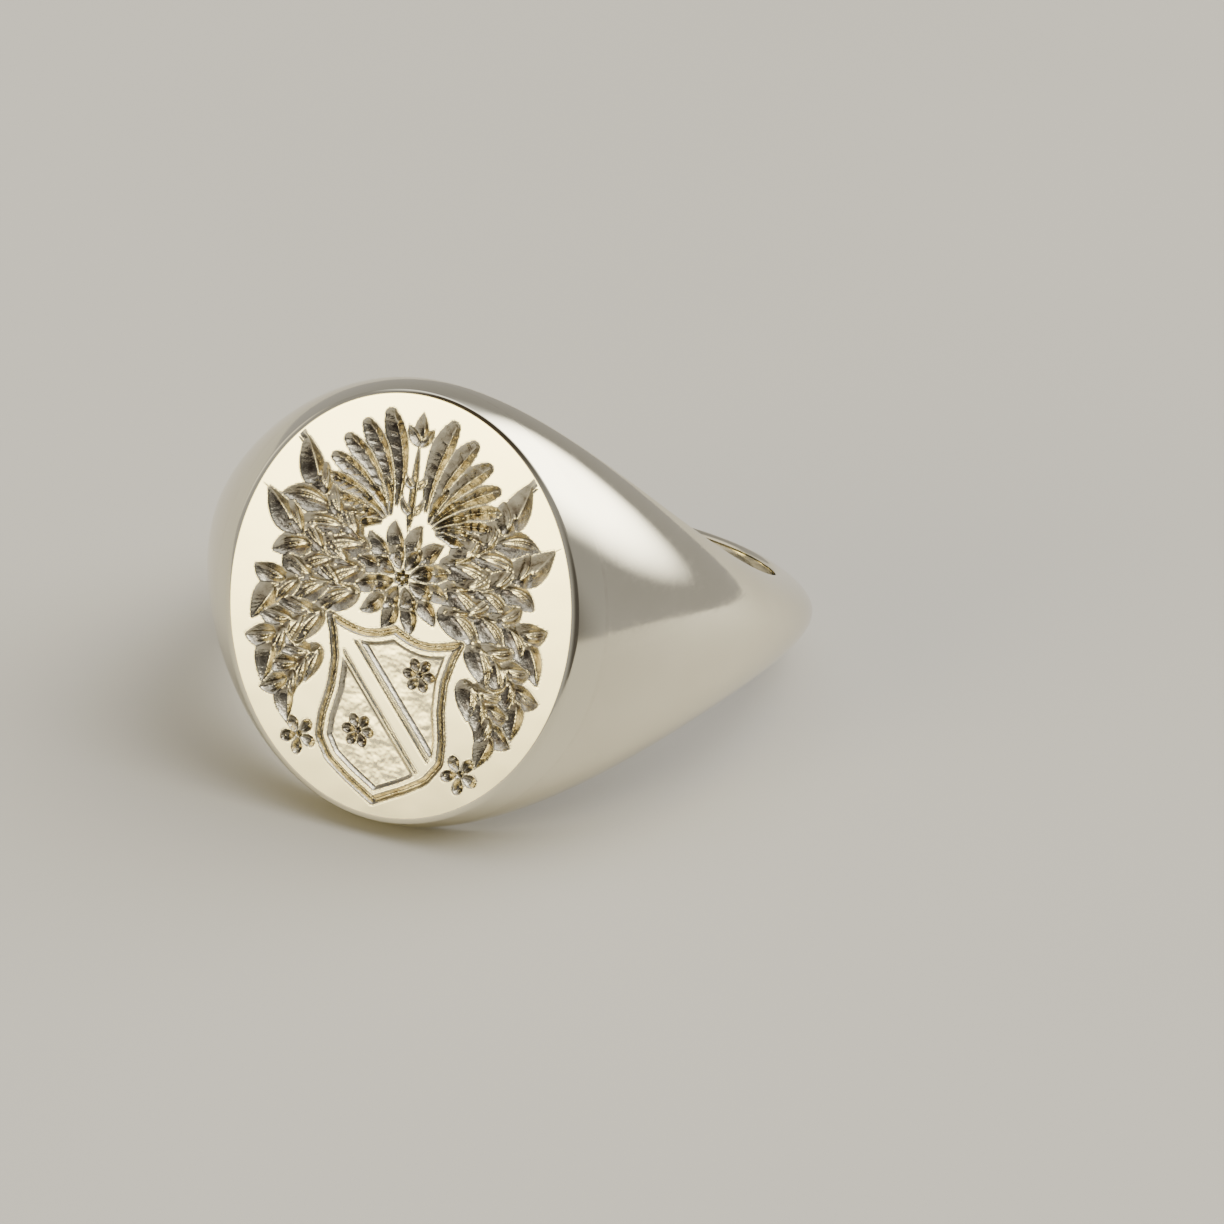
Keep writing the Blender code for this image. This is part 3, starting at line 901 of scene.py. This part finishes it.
def engraved_silver():
    """The seal: a bright face, and cuts with painted brown shade on their steep walls and in their
    depths.
    """
    make = NodeMaker("engraved_silver")
    depth = make.add("ShaderNodeAttribute", attribute_name="cut_depth").outputs["Fac"]
    slope = make.add("ShaderNodeAttribute", attribute_name="cut_slope").outputs["Fac"]
    blotches = make.noise(0.35, 4.0, 0.6)
    in_cut = make.remap(depth, 0.02, 0.24, 0.0, 1.0)
    on_wall = make.remap(slope, 0.08, 0.42, 0.0, 1.0)
    uneven = make.remap(blotches, 0.35, 0.65, 0.45, 1.0)
    # Painted shade: the cuts' steep walls are darkened in the colour, more so deeper down and in
    # blotches, and their hollows a little.
    deep_wall = make.math("MULTIPLY", make.remap(in_cut, 0.0, 1.0, 0.5, 1.0), on_wall)
    in_hollows = make.math("MULTIPLY", in_cut, 0.36)
    painted_cut_shade = make.math("MAXIMUM", make.math("MULTIPLY", deep_wall, uneven), in_hollows)
    # The face's own colour, and the brown painted shade mixed into it in the cuts.
    unshaded = (0.75, 0.714, 0.583, 1.0)
    dark = (0.155, 0.125, 0.092, 1.0)
    make.link(make.mix_colour(painted_cut_shade, unshaded, dark), make.shader.inputs["Base Color"])
    face_roughness = make.remap(make.noise(0.7, 3.0), 0.3, 0.7, 0.085, 0.115)
    cut_roughness = make.math("MULTIPLY", in_cut, 0.06)
    roughness = make.math("ADD", face_roughness, cut_roughness)
    make.link(roughness, make.shader.inputs["Roughness"])
    face_waves = make.bump(make.noise(1.6, 1.0), 0.004, 1.0)
    chatter = make.math("MULTIPLY", make.noise(0.11, 3.0, 0.65), on_wall)
    mottle = make.math("MULTIPLY", make.noise(0.55, 2.0), in_cut)
    hand_cut = make.bump(mottle, 0.045, 1.0, face_waves)
    make.link(make.bump(chatter, 0.018, 1.0, hand_cut), make.shader.inputs["Normal"])
    make.shader.inputs["Metallic"].default_value = 1.0
    return make.material


def hard_solder():
    """Solder polished flush: the same metal, a shade greyer and less bright."""
    make = NodeMaker("hard_solder")
    tint = make.remap(make.noise(0.4, 2.0), 0.35, 0.65, 0.0, 1.0)
    darker = (0.7, 0.66, 0.54, 1.0)
    paler = (0.735, 0.695, 0.568, 1.0)
    colour = make.mix_colour(tint, darker, paler)
    make.link(colour, make.shader.inputs["Base Color"])
    roughness = make.remap(make.noise(0.15, 2.0), 0.3, 0.7, 0.08, 0.13)
    make.link(roughness, make.shader.inputs["Roughness"])
    make.shader.inputs["Metallic"].default_value = 1.0
    return make.material


# ---------------------------------------------------------------- floor, light and camera


def add_floor():
    """A plain pale floor."""
    make = NodeMaker("pale_floor")
    shade = make.remap(make.noise(60.0, 3.0), 0.3, 0.7, 0.0, 1.0)
    darker = (0.33, 0.322, 0.31, 1.0)
    paler = (0.35, 0.342, 0.33, 1.0)
    colour = make.mix_colour(shade, darker, paler)
    make.link(colour, make.shader.inputs["Base Color"])
    make.shader.inputs["Roughness"].default_value = 0.6
    mesh = bpy.data.meshes.new("floor")
    half = 1.5
    corners = [(-half, -half, 0.0), (half, -half, 0.0), (half, half, 0.0), (-half, half, 0.0)]
    mesh.from_pydata(corners, [], [(0, 1, 2, 3)])
    mesh.materials.append(make.material)
    floor = bpy.data.objects.new("floor", mesh)
    bpy.context.scene.collection.objects.link(floor)


def bearing(azimuth, elevation):
    """Unit vector towards a bearing: 0 is in front of the seal (-Y), 90 is to its right (+X)."""
    turn = math.radians(azimuth)
    rise = math.radians(elevation)
    level = math.cos(rise)
    return Vector((math.sin(turn) * level, -math.cos(turn) * level, math.sin(rise)))


# The studio's soft-edged cards. Each is a bearing, a height above the horizon, the angles from its
# middle at which it starts and ends fading, all in degrees, and a colour.
CARDS = (
    (0.0, 90.0, 20.0, 50.0, (1.9, 1.87, 1.8, 1.0)),  # a soft light overhead
    (-14.0, 54.0, 13.0, 30.0, (0.07, 0.055, 0.038, 1.0)),  # a dark card for the cuts' shaded sides
    (36.0, 6.0, 15.0, 34.0, (0.1, 0.09, 0.08, 1.0)),  # a dark card for the rim beside the seal
    (-28.0, 20.0, 9.0, 20.0, (12.0, 10.2, 5.0, 1.0)),  # the warm light that the seal's face mirrors
    (122.0, 48.0, 13.0, 40.0, (9.5, 9.1, 7.9, 1.0)),  # a large soft light for the right flank
    (-84.0, 12.0, 4.0, 20.0, (1.3, 1.2, 1.0, 1.0)),  # a small light low on the left
)


def add_world():
    """Soft studio light all round: a plain sky with the cards in it."""
    world = bpy.data.worlds.new("studio")
    bpy.context.scene.world = world
    world.use_nodes = True
    tree = world.node_tree
    place = tree.nodes.new("ShaderNodeTexCoord")
    parts = tree.nodes.new("ShaderNodeSeparateXYZ")
    tree.links.new(place.outputs["Generated"], parts.inputs["Vector"])
    sky = tree.nodes.new("ShaderNodeMix")
    sky.data_type = "RGBA"
    horizon_colour = (0.5, 0.48, 0.45, 1.0)
    zenith_colour = (0.3, 0.29, 0.28, 1.0)
    sky.inputs[6].default_value = horizon_colour
    sky.inputs[7].default_value = zenith_colour
    tree.links.new(parts.outputs["Z"], sky.inputs["Factor"])
    colour = sky.outputs[2]
    for card in CARDS:
        colour = add_card(tree, place.outputs["Generated"], colour, *card)
    tree.links.new(colour, tree.nodes["Background"].inputs["Color"])


def add_card(tree, towards, behind, azimuth, elevation, full, gone, card_colour):
    """Lays one card over the colours behind it, and returns the result."""
    likeness = tree.nodes.new("ShaderNodeVectorMath")
    likeness.operation = "DOT_PRODUCT"
    likeness.inputs[1].default_value = bearing(azimuth, elevation)
    tree.links.new(towards, likeness.inputs[0])
    fade = tree.nodes.new("ShaderNodeMapRange")
    fade.interpolation_type = "SMOOTHSTEP"
    fade.inputs["From Min"].default_value = math.cos(math.radians(gone))
    fade.inputs["From Max"].default_value = math.cos(math.radians(full))
    tree.links.new(likeness.outputs["Value"], fade.inputs["Value"])
    mix = tree.nodes.new("ShaderNodeMix")
    mix.data_type = "RGBA"
    mix.inputs[7].default_value = card_colour
    tree.links.new(fade.outputs["Result"], mix.inputs["Factor"])
    tree.links.new(behind, mix.inputs[6])
    return mix.outputs[2]


def add_camera():
    """The main view: from the right of the seal and above it, with a long lens."""
    azimuth = 26.4
    elevation = 29.2
    distance = 0.138
    aim = Vector((0.0, 0.0, 0.0073))
    aim_right = 0.00366
    aim_down = 0.0038
    camera = bpy.data.cameras.new("camera")
    camera.angle = math.radians(18.0)
    camera.clip_start = 0.005
    camera.clip_end = 10.0
    holder = bpy.data.objects.new("camera", camera)
    bpy.context.scene.collection.objects.link(holder)
    back = bearing(azimuth, elevation)
    place = aim + back * distance
    right = Vector((0.0, 0.0, 1.0)).cross(back).normalized()
    up = back.cross(right)
    look_at = aim + right * aim_right - up * aim_down
    holder.location = place
    holder.rotation_mode = "QUATERNION"
    holder.rotation_quaternion = (look_at - place).to_track_quat("-Z", "Y")
    bpy.context.scene.camera = holder


def build():
    silver = polished_silver()
    solder = hard_solder()
    add_head(silver)
    add_shank(silver)
    add_shank_seam("right", 1, solder)
    add_shank_seam("left", -1, solder)
    add_seal_seam(solder)
    add_seal_plate(engraved_silver())
    add_floor()
    add_world()
    add_camera()


build()
